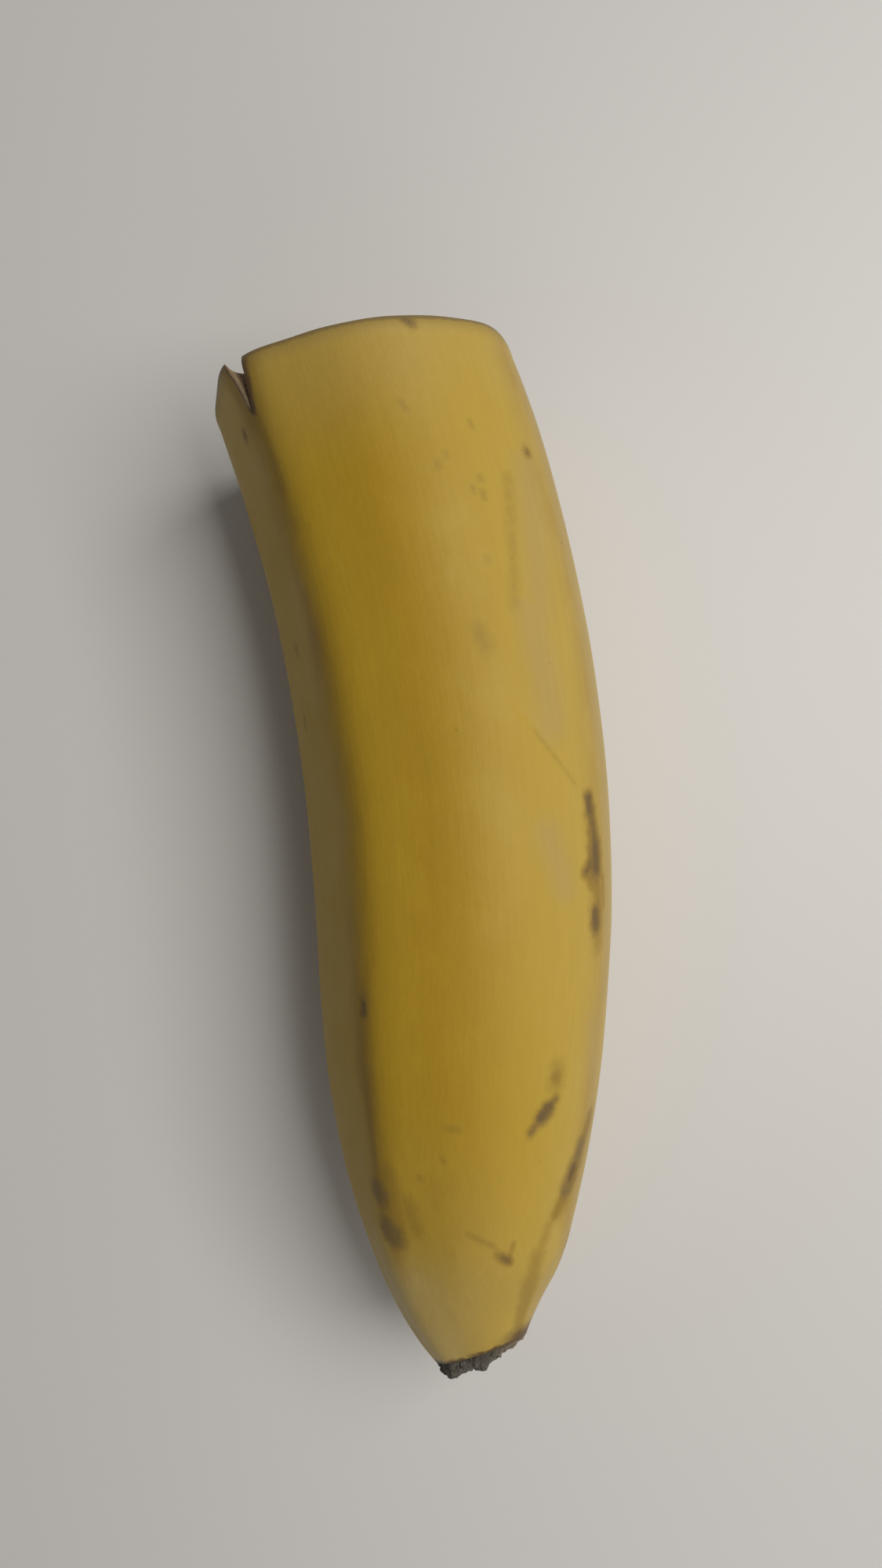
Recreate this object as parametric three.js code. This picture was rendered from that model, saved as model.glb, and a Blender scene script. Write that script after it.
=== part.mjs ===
// A piece of unpeeled banana lying on its side: the blossom-end part of the fruit, cut off by a knife.
// Millimetres, +Z up. The cut end points along +Y and the blossom end along -Y.
// The peel is an open shell with a short split at its rim, and the flesh fills it.
import * as THREE from 'three';

// The fruit. Headings are measured from -Y towards +X, in degrees.
const fruit = {
  length: 123.4, // along the middle line, from the cut face to the blossom end
  axisHeight: 18, // of the middle line above the table; the fruit's weight flattens its underside
  faceRadius: 18.85, // to the middle of a face, where the fruit is full
  tipRadius: 6.1,
  taperPower: 5.6, // a higher power keeps the fruit full for longer
  cutShrink: 0.5, // drying has drawn the cut end in by this much
  cutShrinkReach: 8,
  cutHeading: 20.3, // of the middle line at the cut; it bends along a round arc
  arcEnd: 71.4, // and runs straight from here
  tipHeading: 7.5,
  tipBendStart: 85.4,
  tipBendPower: 1.5,
};

// Both end faces are turned in plan, and their tops lean towards +Y, in degrees.
const cutFace = { turn: 9.7, lean: 5.6, reach: 22 };
const tipFace = { turn: 20, lean: 16, reach: 16 };

// The five long ridges. Angles run round the section from the top, towards +X, in degrees.
const ridgeTurnLength = 55;
const ridges = [
  { angle: -45.5, farAngle: -37, rise: 1.2, width: 15 },
  { angle: 53, farAngle: 53, rise: 1.0, width: 17 },
  { angle: 125, farAngle: 125, rise: 1.2, width: 18 },
  { angle: 217, farAngle: 217, rise: 1.3, width: 18 },
  { angle: 268, farAngle: 268, rise: 1.1, width: 17 },
];

// The peel, and the cavity that the flesh fills.
const peel = { thickness: 3, ridgeShareInside: 0.35, cavityEnd: 115, cavityRounding: 26 };
const flesh = { gap: 0.3, inset: 0.4, endGap: 0.5 };

// The split starts on the first ridge at the rim and drifts off it. Its far lip stands out most.
const split = { depth: 5.5, width: 2.1, power: 1.2, shareOfFarLip: 0.8, drift: -2.8 };
const lips = { nearRise: 0.25, farRise: 1.2, power: 1.5, rounding: 0.3, width: 20 };
const rimBulge = { angle: -67, rise: 0.75, width: 36, reach: 8.5 };

// The dry brown scar at the blossom end, with lobes round its edge and a low side.
const scar = { gap: 0.3, depth: 0.6, edgeOverhang: 1.02, rimShare: 0.84, coreShare: 0.42, dimple: 0.6 };
const scarLobes = [
  { angle: -60, rise: 1.3, width: 30 },
  { angle: -6, rise: 1.1, width: 18 },
  { angle: 80, rise: -0.4, width: 26 },
  { angle: 150, rise: 0.5, width: 26 },
  { angle: 225, rise: 0.6, width: 20 },
];

// How finely each body is divided.
const peelColumns = 60;
const fleshColumns = 48;
const scarColumns = 36;
const splitRows = 4;
const outerRows = 30;
const innerRows = 14;
const rowCrowding = 1.35; // above 1 the rows crowd towards the tip

const fullTurn = 360;

function radians(degrees) {
  return THREE.MathUtils.degToRad(degrees);
}

function smoothStep(value) {
  return THREE.MathUtils.smoothstep(value, 0, 1);
}

// A smooth hump of height 1 round an angle, measured the short way round.
function hump(angle, centre, width) {
  const away = THREE.MathUtils.euclideanModulo(angle - centre + fullTurn / 2, fullTurn) - fullTurn / 2;
  return Math.exp(-((away / width) ** 2));
}

function heading(along) {
  const arc = Math.max(0, 1 - along / fruit.arcEnd);
  const tip = Math.max(0, (along - fruit.tipBendStart) / (fruit.length - fruit.tipBendStart));
  return fruit.cutHeading * arc + fruit.tipHeading * tip ** fruit.tipBendPower;
}

// The middle line starts at the centre of the cut face.
function middleLine(along) {
  const steps = Math.max(1, Math.ceil(along));
  const step = along / steps;
  const point = new THREE.Vector3(0, 0, fruit.axisHeight);
  for (let i = 0; i < steps; i += 1) {
    const turn = radians(heading((i + 0.5) * step));
    point.x += Math.sin(turn) * step;
    point.y -= Math.cos(turn) * step;
  }
  return point;
}

// A section's centre, its sideways direction and its upright one.
function sectionAt(along) {
  const nearCut = smoothStep(1 - along / cutFace.reach);
  const nearTip = smoothStep(1 - (fruit.length - along) / tipFace.reach);
  const free = (1 - nearCut) * (1 - nearTip);
  const turn = radians(heading(along) * free + cutFace.turn * nearCut + tipFace.turn * nearTip);
  const cutLean = Math.tan(radians(cutFace.lean)) * nearCut;
  const tipLean = Math.tan(radians(tipFace.lean)) * nearTip;
  return {
    along,
    centre: middleLine(along),
    side: new THREE.Vector3(Math.cos(turn), Math.sin(turn), 0),
    up: new THREE.Vector3(0, cutLean + tipLean, 1),
  };
}

// The underside is pressed flat where it would reach below the table.
function pointOn(section, angle, radius) {
  const point = section.centre.clone();
  point.addScaledVector(section.side, radius * Math.sin(radians(angle)));
  point.addScaledVector(section.up, radius * Math.cos(radians(angle)));
  point.z = Math.max(0, point.z);
  return point;
}

function faceRadius(along) {
  const taper = (fruit.faceRadius - fruit.tipRadius) * (along / fruit.length) ** fruit.taperPower;
  return fruit.faceRadius - taper - fruit.cutShrink * Math.exp(-along / fruit.cutShrinkReach);
}

function ridgeRise(along, angle) {
  const turned = Math.min(1, along / ridgeTurnLength);
  const fullness = faceRadius(along) / fruit.faceRadius;
  let rise = 0;
  for (const ridge of ridges) {
    const crest = ridge.angle + (ridge.farAngle - ridge.angle) * turned;
    rise += ridge.rise * fullness * hump(angle, crest, ridge.width);
  }
  return rise;
}

function openingAt(along) {
  return split.width * Math.max(0, 1 - along / split.depth) ** split.power;
}

// Column 0 is the near lip of the split and the last column its far lip.
function columnAngle(along, column, columns) {
  const opening = THREE.MathUtils.radToDeg(openingAt(along) / faceRadius(along));
  const drift = split.drift * Math.min(1, along / split.depth);
  const start = ridges[0].angle + drift + opening * (1 - split.shareOfFarLip);
  return start + ((fullTurn - opening) * column) / columns;
}

// How far the lips stand out, from 1 at the rim. It dies away softly beyond the split.
function lipShare(along) {
  const left = 1 - along / split.depth;
  const soft = (left + Math.hypot(left, lips.rounding)) / (1 + Math.hypot(1, lips.rounding));
  return soft ** lips.power;
}

// How far the peel stands out beside the split.
function flare(along, angle) {
  const bulge = rimBulge.rise * Math.exp(-((along / rimBulge.reach) ** 2));
  const open = lipShare(along);
  const nearShare = Math.exp(-(((angle - columnAngle(along, 0, 1)) / lips.width) ** 2));
  const farShare = Math.exp(-(((columnAngle(along, 1, 1) - angle) / lips.width) ** 2));
  const lip = open * (lips.nearRise * nearShare + lips.farRise * farShare);
  return bulge * hump(angle, rimBulge.angle, rimBulge.width) + lip;
}

function outerRadius(along, angle) {
  return faceRadius(along) + ridgeRise(along, angle) + flare(along, angle);
}

// The cavity narrows to a rounded end, and its ridges are soft.
function coreRadius(along, angle, end) {
  const closing = Math.max(0, 1 - (end - along) / peel.cavityRounding);
  const full = faceRadius(along) - peel.thickness + peel.ridgeShareInside * ridgeRise(along, angle);
  return full * Math.sqrt(Math.max(0, 1 - closing ** 2));
}

// A closed body made of triangles, where corners at the same place are one corner.
class Body {
  constructor() {
    this.places = [];
    this.corners = [];
    this.known = new Map();
  }

  corner(point) {
    const key = point.toArray().map((value) => Math.round(value * 1e4)).join();
    if (!this.known.has(key)) {
      this.known.set(key, this.places.length / 3);
      this.places.push(point.x, point.y, point.z);
    }
    return this.known.get(key);
  }

  triangle(a, b, c) {
    const [i, j, k] = [this.corner(a), this.corner(b), this.corner(c)];
    if (i !== j && j !== k && k !== i) {
      this.corners.push(i, j, k);
    }
  }

  // Joins two rows of points; the first row is nearer the cut on an outer skin.
  strip(first, second) {
    for (let i = 0; i + 1 < first.length; i += 1) {
      this.triangle(first[i], second[i], second[i + 1]);
      this.triangle(first[i], second[i + 1], first[i + 1]);
    }
  }

  skin(rows) {
    for (let i = 0; i + 1 < rows.length; i += 1) {
      this.strip(rows[i], rows[i + 1]);
    }
  }

  mesh(name, material) {
    const geometry = new THREE.BufferGeometry();
    geometry.setAttribute('position', new THREE.Float32BufferAttribute(this.places, 3));
    geometry.setIndex(this.corners);
    geometry.computeVertexNormals();
    const mesh = new THREE.Mesh(geometry, material);
    mesh.name = name;
    return mesh;
  }
}

// Stations down the split, which the peel's two skins share.
function splitStations() {
  return Array.from({ length: splitRows }, (_, i) => (split.depth * i) / splitRows);
}

function peelRow(along, radiusAt) {
  const section = sectionAt(along);
  const row = [];
  for (let column = 0; column <= peelColumns; column += 1) {
    const angle = columnAngle(along, column, peelColumns);
    row.push(pointOn(section, angle, radiusAt(along, angle)));
  }
  if (openingAt(along) === 0) {
    row[peelColumns] = row[0];
  }
  return row;
}

function outerSkin() {
  const stations = splitStations();
  for (let i = 0; i <= outerRows; i += 1) {
    const share = 1 - (1 - i / outerRows) ** rowCrowding;
    stations.push(split.depth + (fruit.length - split.depth) * share);
  }
  return stations.map((along) => peelRow(along, outerRadius));
}

function innerSkin() {
  const stations = splitStations();
  for (let i = 0; i <= innerRows; i += 1) {
    const share = Math.sin(((i / innerRows) * Math.PI) / 2);
    stations.push(split.depth + (peel.cavityEnd - split.depth) * share);
  }
  const radiusAt = (along, angle) => coreRadius(along, angle, peel.cavityEnd) + flare(along, angle);
  return stations.map((along) => peelRow(along, along < peel.cavityEnd ? radiusAt : () => 0));
}

function makePeel() {
  const body = new Body();
  const outer = outerSkin();
  const inner = innerSkin();
  const tipCentre = sectionAt(fruit.length).centre;
  body.skin([...outer, outer[0].map(() => tipCentre)]);
  body.skin([...inner].reverse());
  body.strip(inner[0], outer[0]);
  for (let i = 0; i < splitRows; i += 1) {
    body.strip([inner[i][0], outer[i][0]], [inner[i + 1][0], outer[i + 1][0]]);
    body.strip([outer[i].at(-1), inner[i].at(-1)], [outer[i + 1].at(-1), inner[i + 1].at(-1)]);
  }
  return body.mesh('peel', new THREE.MeshStandardMaterial({ color: '#cfb24b', roughness: 0.45, metalness: 0 }));
}

function makeFlesh() {
  const body = new Body();
  const end = peel.cavityEnd - flesh.endGap;
  const rows = [];
  for (let i = 0; i <= innerRows + 1; i += 1) {
    const along = flesh.inset + (end - flesh.inset) * Math.sin(((i / (innerRows + 1)) * Math.PI) / 2);
    const section = sectionAt(along);
    const row = [];
    for (let column = 0; column < fleshColumns; column += 1) {
      const angle = (fullTurn * column) / fleshColumns;
      const radius = along < end ? coreRadius(along, angle, end) - flesh.gap : 0;
      row.push(pointOn(section, angle, Math.max(0, radius)));
    }
    rows.push([...row, row[0]]);
  }
  const cutCentre = sectionAt(flesh.inset).centre;
  body.skin([rows[0].map(() => cutCentre), ...rows]);
  return body.mesh('flesh', new THREE.MeshStandardMaterial({ color: '#efe2b4', roughness: 0.6, metalness: 0 }));
}

function scarDepth(angle) {
  return scarLobes.reduce((depth, lobe) => depth + lobe.rise * hump(angle, lobe.angle, lobe.width), scar.depth);
}

// Small uneven crags, from -1 to 1.
function crag(angle, turns) {
  return Math.sin(radians(angle * 5 + turns * 70)) * 0.6 + Math.sin(radians(angle * 9 + turns * 130)) * 0.4;
}

function makeBlossomEnd() {
  const body = new Body();
  const section = sectionAt(fruit.length);
  const outward = section.side.clone().cross(section.up).normalize();
  const standOff = (point, distance) => point.addScaledVector(outward, distance);
  const ring = (radiusShare, heightShare, roughness, turns) => {
    const row = [];
    for (let column = 0; column < scarColumns; column += 1) {
      const angle = (fullTurn * column) / scarColumns;
      const radius = outerRadius(fruit.length, angle) * (radiusShare + roughness * crag(angle, turns));
      const height = scar.gap + scarDepth(angle) * (heightShare + roughness * crag(angle, turns + 1));
      row.push(standOff(pointOn(section, angle, radius), height));
    }
    return [...row, row[0]];
  };
  const base = standOff(section.centre.clone(), scar.gap);
  const core = standOff(section.centre.clone(), scar.gap + scar.depth * scar.dimple);
  const foot = ring(1, 0, 0, 0);
  const edge = ring(scar.edgeOverhang, 0.5, 0.02, 1);
  const rim = ring(scar.rimShare, 1, 0.05, 2);
  const hollow = ring(scar.coreShare, 0.7, 0.09, 3);
  body.skin([foot.map(() => base), foot, edge, rim, hollow, foot.map(() => core)]);
  const material = new THREE.MeshStandardMaterial({ color: '#4c4238', roughness: 0.85, metalness: 0 });
  return body.mesh('blossom_end', material);
}

// The origin is the middle of the box's underside.
const banana = new THREE.Group();
banana.add(makePeel(), makeFlesh(), makeBlossomEnd());
const extent = new THREE.Box3().setFromObject(banana);
const middle = extent.getCenter(new THREE.Vector3());
banana.position.set(-middle.x, -middle.y, -extent.min.z);

export default banana;
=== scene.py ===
import math

import bpy
import numpy as np
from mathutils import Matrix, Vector, noise


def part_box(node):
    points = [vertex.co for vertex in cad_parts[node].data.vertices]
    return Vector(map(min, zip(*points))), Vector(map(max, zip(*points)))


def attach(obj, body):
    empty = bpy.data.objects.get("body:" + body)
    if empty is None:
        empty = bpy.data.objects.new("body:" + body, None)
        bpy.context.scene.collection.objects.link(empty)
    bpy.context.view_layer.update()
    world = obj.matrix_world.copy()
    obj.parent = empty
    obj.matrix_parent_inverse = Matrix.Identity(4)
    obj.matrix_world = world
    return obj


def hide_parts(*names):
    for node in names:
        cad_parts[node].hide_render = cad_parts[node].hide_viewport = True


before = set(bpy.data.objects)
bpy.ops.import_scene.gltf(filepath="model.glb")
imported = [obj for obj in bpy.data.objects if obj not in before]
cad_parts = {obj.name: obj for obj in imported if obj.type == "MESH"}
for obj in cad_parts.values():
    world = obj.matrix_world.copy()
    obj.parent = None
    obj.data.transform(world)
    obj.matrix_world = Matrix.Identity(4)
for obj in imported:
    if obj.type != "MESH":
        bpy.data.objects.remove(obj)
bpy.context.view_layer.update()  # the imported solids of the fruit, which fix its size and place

mm = 0.001
fullTurn = 360.0
halfTurn = fullTurn / 2

# The fruit, in metres and degrees. Angles run round it from the top towards +X,
# and "along" runs down its middle line from the knife cut to the blossom end.
fruit = {
    "Length": 123.4 * mm,
    "Axis height": 18 * mm,
    "Face radius": 18.85 * mm,
    "Tip radius": 6.1 * mm,
    "Taper power": 5.6,
    "Cut shrink": 0.5 * mm,
    "Cut shrink reach": 8 * mm,
    "Cut turn": 9.7,
    "Cut lean": 5.6,
    "Cut reach": 22 * mm,
    "Tip turn": 20.0,
    "Tip lean": 16.0,
    "Tip reach": 16 * mm,
    "Ridge turn length": 55 * mm,
    "Peel thickness": 3 * mm,
    "Ridge share inside": 0.35,
    "Core end": 115 * mm,
    "Core rounding": 26 * mm,
    "Core gap": 0.0,
}
bend = {
    "cutHeading": 20.3,
    "arcEnd": 71.4 * mm,
    "tipHeading": 7.5,
    "tipStart": 85.4 * mm,
    "tipPower": 1.5,
    "steps": 496,
}
ridges = [  # angle at the cut, angle further down, rise, width, how far it turns again at the blossom end
    (-45.5, -37, 1.2 * mm, 15, -13),
    (53, 53, 1.0 * mm, 17, 0),
    (125, 125, 1.2 * mm, 18, 0),
    (217, 217, 1.3 * mm, 18, 0),
    (268, 268, 1.1 * mm, 17, 0),
]
lastTurn = {"start": 90 * mm, "end": 112 * mm}  # where the ridges turn again


# A wire is a socket that can be added and multiplied, so that a rule reads as a sum.
class Wire:
    def __init__(self, tree, socket):
        self.tree = tree
        self.socket = socket

    def __add__(self, other):
        return maths(self.tree, "ADD", self, other)

    def __sub__(self, other):
        return maths(self.tree, "SUBTRACT", self, other)

    def __rsub__(self, other):
        return maths(self.tree, "SUBTRACT", other, self)

    def __mul__(self, other):
        return maths(self.tree, "MULTIPLY", self, other)

    def __truediv__(self, other):
        return maths(self.tree, "DIVIDE", self, other)

    def __rtruediv__(self, other):
        return maths(self.tree, "DIVIDE", other, self)

    def __pow__(self, other):
        return maths(self.tree, "POWER", self, other)

    __radd__ = __add__
    __rmul__ = __mul__


def plug(value, socket):
    if isinstance(value, Wire):
        value.tree.links.new(value.socket, socket)
    else:
        socket.default_value = value


def makeNode(tree, kind, output=0, settings=None, **inputs):
    # the inputs' names have their spaces taken out
    node = tree.nodes.new(kind)
    for name, value in (settings or {}).items():
        setattr(node, name, value)
    for name, value in inputs.items():
        socket = next(s for s in node.inputs if s.name.replace(" ", "") == name and s.enabled)
        plug(value, socket)
    return Wire(tree, node.outputs[output])


def maths(tree, operation, *values):
    node = tree.nodes.new("ShaderNodeMath")
    node.operation = operation
    for value, socket in zip(values, node.inputs):
        plug(value, socket)
    return Wire(tree, node.outputs[0])


def vectorMaths(tree, operation, *values):
    node = tree.nodes.new("ShaderNodeVectorMath")
    node.operation = operation
    for value, socket in zip(values, node.inputs):
        plug(value, socket)
    return Wire(tree, node.outputs["Value" if operation == "LENGTH" else "Vector"])


def parts(vector):
    node = vector.tree.nodes.new("ShaderNodeSeparateXYZ")
    plug(vector, node.inputs[0])
    return [Wire(vector.tree, socket) for socket in node.outputs]


def joined(tree, x, y, z):
    return makeNode(tree, "ShaderNodeCombineXYZ", X=x, Y=y, Z=z)


def stretched(vector, *factors):
    return vectorMaths(vector.tree, "MULTIPLY", vector, factors)


def noiseOf(vector, size, detail=2.0, roughness=0.5):
    # a cloud of noise from 0 to 1, with lumps of about this size
    return makeNode(
        vector.tree, "ShaderNodeTexNoise",
        Vector=vector, Scale=1 / size, Detail=detail, Roughness=roughness)


def ramp(value, start, end, low=0.0, high=1.0):
    # goes smoothly from low at start to high at end
    node = value.tree.nodes.new("ShaderNodeMapRange")
    node.interpolation_type = "SMOOTHSTEP"
    if start > end:
        start, end, low, high = end, start, high, low
    for item, socket in zip((value, start, end, low, high), node.inputs):
        plug(item, socket)
    return Wire(value.tree, node.outputs[0])


def larger(first, second):
    return maths(first.tree, "MAXIMUM", first, second)


def humpAt(value, centre, width):
    away = (value - centre) / width
    return maths(value.tree, "EXPONENT", away * away * -1.0)


def smoothShare(value):
    share = maths(value.tree, "MINIMUM", 1.0, larger(value, 0.0))
    return share * share * (3.0 - 2.0 * share)


def arc(angle):
    # degrees round the fruit as a length on its skin, where it is full
    return math.radians(angle) * fruit["Face radius"]


# Geometry Nodes

socketKinds = {
    float: "NodeSocketFloat",
    int: "NodeSocketInt",
    bpy.types.Object: "NodeSocketObject",
    bpy.types.Material: "NodeSocketMaterial",
}
sharpEdge = 50  # degrees between two faces, past which the edge between them stays sharp


def newTree(name, inputs):
    tree = bpy.data.node_groups.new(name, "GeometryNodeTree")
    tree.interface.new_socket("Geometry", in_out="INPUT", socket_type="NodeSocketGeometry")
    tree.interface.new_socket("Geometry", in_out="OUTPUT", socket_type="NodeSocketGeometry")
    for label, value in inputs.items():
        socket = tree.interface.new_socket(label, in_out="INPUT", socket_type=socketKinds[type(value)])
        socket.default_value = value
    start = tree.nodes.new("NodeGroupInput")
    tree.nodes.new("NodeGroupOutput")
    return tree, {socket.name: Wire(tree, socket) for socket in start.outputs if socket.name}


def endTree(geometry):
    end = geometry.tree.nodes["Group Output"]
    plug(geometry, end.inputs["Geometry"])


def finishTree(geometry, material, innerMaterial=None):
    tree = geometry.tree
    done = makeNode(tree, "GeometryNodeRealizeInstances", Geometry=geometry)
    done = makeNode(tree, "GeometryNodeSetMaterial", Geometry=done, Material=material)
    if innerMaterial:
        inside = maths(tree, "GREATER_THAN", namedValue(tree, "inside"), 0.5)
        done = makeNode(
            tree, "GeometryNodeSetMaterial", Geometry=done, Material=innerMaterial, Selection=inside)
    endTree(done)


def runTree(thing, tree, values):
    # sets the tree's named inputs and turns what it makes into the object's own plain mesh
    modifier = thing.modifiers.new(tree.name, "NODES")
    modifier.node_group = tree
    for item in tree.interface.items_tree:
        if item.in_out == "INPUT" and item.name in values:
            modifier[item.identifier] = values[item.name]
    bpy.context.view_layer.update()
    evaluated = thing.evaluated_get(bpy.context.evaluated_depsgraph_get())
    mesh = bpy.data.meshes.new_from_object(evaluated)
    thing.modifiers.remove(modifier)
    thing.data = mesh
    mesh.name = thing.name
    mesh.polygons.foreach_set("use_smooth", np.ones(len(mesh.polygons), bool))
    mesh.set_sharp_from_angle(angle=math.radians(sharpEdge))
    mesh.update()
    print(thing.name, "has", len(mesh.polygons), "faces")


def namedValue(tree, name, kind="FLOAT"):
    return makeNode(tree, "GeometryNodeInputNamedAttribute", settings={"data_type": kind}, Name=name)


def storeNamed(geometry, name, value, kind="FLOAT"):
    return makeNode(
        geometry.tree, "GeometryNodeStoreNamedAttribute", settings={"data_type": kind},
        Geometry=geometry, Name=name, Value=value)


def moved(geometry, **places):
    return makeNode(geometry.tree, "GeometryNodeSetPosition", Geometry=geometry, **places)


def pushed(geometry, distance):
    # moves every point along its own normal
    tree = geometry.tree
    normal = makeNode(tree, "GeometryNodeInputNormal")
    push = makeNode(tree, "ShaderNodeVectorMath", 0, {"operation": "SCALE"}, Vector=normal, Scale=distance)
    return moved(geometry, Offset=push)


def anyOf(tree, low, high, seed):
    # another value for every point
    kind = {"data_type": "FLOAT"}
    return makeNode(tree, "FunctionNodeRandomValue", 1, kind, Min=low, Max=high, Seed=seed)


def linkObject(name, data):
    thing = bpy.data.objects.new(name, data)
    bpy.context.scene.collection.objects.link(thing)
    return thing


# The rule that lays any mesh on the fruit, from its points' places along it and round it


def ridgeRise(angle, along, fullness, turnLength):
    turned = maths(along.tree, "MINIMUM", 1.0, along / turnLength)
    atTip = ramp(along, lastTurn["start"], lastTurn["end"])
    rise = 0.0
    for start, far, height, width, tipTurn in ridges:
        crest = turned * (far - start) + start + atTip * tipTurn
        away = maths(along.tree, "WRAP", angle - crest, halfTurn, -halfTurn)
        rise = fullness * height * humpAt(away, 0.0, width) + rise
    return rise


def makeFruitRule(path):
    tree, given = newTree("layOnFruit", {**fruit, "Path": path})
    along, angle = namedValue(tree, "along"), namedValue(tree, "angle")
    depth, lift = namedValue(tree, "depth"), namedValue(tree, "lift")
    inward, standOff = namedValue(tree, "inward"), namedValue(tree, "standOff")

    taper = (given["Face radius"] - given["Tip radius"]) * (along / given["Length"]) ** given["Taper power"]
    shrink = given["Cut shrink"] * maths(tree, "EXPONENT", along / given["Cut shrink reach"] * -1.0)
    face = given["Face radius"] - taper - shrink
    rise = ridgeRise(angle, along, face / given["Face radius"], given["Ridge turn length"])
    closing = larger(1.0 - (given["Core end"] - along) / given["Core rounding"], 0.0)
    closed = maths(tree, "SQRT", larger(1.0 - closing * closing, 0.0))
    core = face - given["Peel thickness"] + rise * given["Ridge share inside"]
    core = larger(core * closed - given["Core gap"], 0.0)
    radius = (face + rise + (core - face - rise) * depth + lift) * (1.0 - inward)

    pathCurve = makeNode(tree, "GeometryNodeObjectInfo", "Geometry", Object=given["Path"])
    settings = {"mode": "LENGTH", "use_all_curves": True}
    sample = makeNode(tree, "GeometryNodeSampleCurve", "Position", settings, Curves=pathCurve, Length=along)
    centre = parts(sample)
    tangent = parts(Wire(tree, sample.socket.node.outputs["Tangent"]))
    heading = maths(tree, "ARCTAN2", tangent[0], tangent[1] * -1.0)
    nearCut = smoothShare(1.0 - along / given["Cut reach"])
    nearTip = smoothShare(1.0 - (given["Length"] - along) / given["Tip reach"])
    turn = heading * (1.0 - nearCut) * (1.0 - nearTip)
    turn = turn + maths(tree, "RADIANS", given["Cut turn"] * nearCut + given["Tip turn"] * nearTip)
    lean = maths(tree, "TANGENT", maths(tree, "RADIANS", given["Cut lean"])) * nearCut
    lean = lean + maths(tree, "TANGENT", maths(tree, "RADIANS", given["Tip lean"])) * nearTip

    radians = maths(tree, "RADIANS", angle)
    sideways = radius * maths(tree, "SINE", radians)
    upright = radius * maths(tree, "COSINE", radians)
    cosTurn, sinTurn = maths(tree, "COSINE", turn), maths(tree, "SINE", turn)
    spread = standOff / maths(tree, "SQRT", cosTurn * cosTurn * lean * lean + 1.0)
    x = centre[0] + sideways * cosTurn + spread * sinTurn
    y = centre[1] + sideways * sinTurn + upright * lean - spread * cosTurn
    z = larger(centre[2] + upright + spread * cosTurn * lean, 0.0)

    # where the point would be on a straightened fruit, for patterns without a seam
    straight = joined(tree, sideways, along + standOff, upright)
    stored = storeNamed(given["Geometry"], "straightPlace", straight, "FLOAT_VECTOR")
    endTree(moved(stored, Position=joined(tree, x, y, z)))
    return tree


def laidOnFruit(geometry, rule, **sizes):
    node = geometry.tree.nodes.new("GeometryNodeGroup")
    node.node_tree = rule
    plug(geometry, node.inputs["Geometry"])
    for name, value in sizes.items():
        node.inputs[name].default_value = value
    return Wire(geometry.tree, node.outputs["Geometry"])


def makePath(start):
    # the fruit's middle line: an arc from the cut, a straight stretch and a turn back at the blossom end
    along = np.linspace(0, fruit["Length"], bend["steps"] + 1)
    arcShare = np.clip(1 - along / bend["arcEnd"], 0, None)
    tipShare = np.clip((along - bend["tipStart"]) / (fruit["Length"] - bend["tipStart"]), 0, None)
    heading = bend["cutHeading"] * arcShare + bend["tipHeading"] * tipShare ** bend["tipPower"]
    heading = np.radians(heading)
    middle = (heading[1:] + heading[:-1]) / 2
    step = fruit["Length"] / bend["steps"]
    x = start[0] + np.concatenate([[0], np.cumsum(np.sin(middle) * step)])
    y = start[1] - np.concatenate([[0], np.cumsum(np.cos(middle) * step)])
    curve = bpy.data.curves.new("fruitPath", "CURVE")
    curve.dimensions = "3D"
    line = curve.splines.new("POLY")
    line.points.add(bend["steps"])
    points = np.stack([x, y, np.full_like(x, fruit["Axis height"]), np.ones_like(x)], -1)
    line.points.foreach_set("co", points.ravel())
    return linkObject("fruitPath", curve)


# Meshes as grids of points, each with its place on the fruit


class Sheets:
    def __init__(self):
        names = ("along", "angle", "depth", "lift", "inward", "standOff", "toLip", "girth")
        self.values = {name: [] for name in names}
        self.count = 0
        self.faces = []
        self.inside = []
        self.edges = []

    def points(self, shape, **values):
        for name, column in self.values.items():
            column.append(np.broadcast_to(values.get(name, 0.0), shape).ravel())
        first = self.count
        self.count += int(np.prod(shape))
        return np.arange(first, self.count).reshape(shape)

    def cover(self, grid, inside=0.0):
        quads = np.stack([grid[:-1, :-1], grid[1:, :-1], grid[1:, 1:], grid[:-1, 1:]], -1)
        for quad in quads.reshape(-1, 4).tolist():
            self.faces.append(list(dict.fromkeys(quad)))  # a pole's face has three corners
            self.inside.append(inside)

    def thread(self, row):
        self.edges.extend(zip(row[:-1].tolist(), row[1:].tolist()))

    def makeObject(self, name):
        mesh = bpy.data.meshes.new(name)
        mesh.from_pydata([(0, 0, 0)] * self.count, self.edges, self.faces)
        for label, column in self.values.items():
            attribute = mesh.attributes.new(label, "FLOAT", "POINT")
            attribute.data.foreach_set("value", np.concatenate(column).astype(np.float32))
        attribute = mesh.attributes.new("inside", "FLOAT", "FACE")
        attribute.data.foreach_set("value", np.array(self.inside, np.float32))
        return linkObject(name, mesh)


def bell(away, width):
    return np.exp(-((away / width) ** 2))


def hump(angle, centre, width):
    # the same on numbers as humpAt is on wires, round the fruit
    return bell((angle - centre + halfTurn) % fullTurn - halfTurn, width)


def roughly(angle, size, seed):
    # smooth noise from 0 to 1 round the fruit
    radius = fruit["Face radius"] / size
    turns = np.radians(np.ravel(angle))
    places = [(math.sin(turn) * radius + seed, seed, math.cos(turn) * radius) for turn in turns]
    return np.array([noise.noise(place) for place in places]).reshape(np.shape(angle)) * 0.5 + 0.5


# Marks on the skin by kind. Each runs from one place to another, as along in mm and angle,
# along in mm and angle, and ends with its width in mm.

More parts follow.
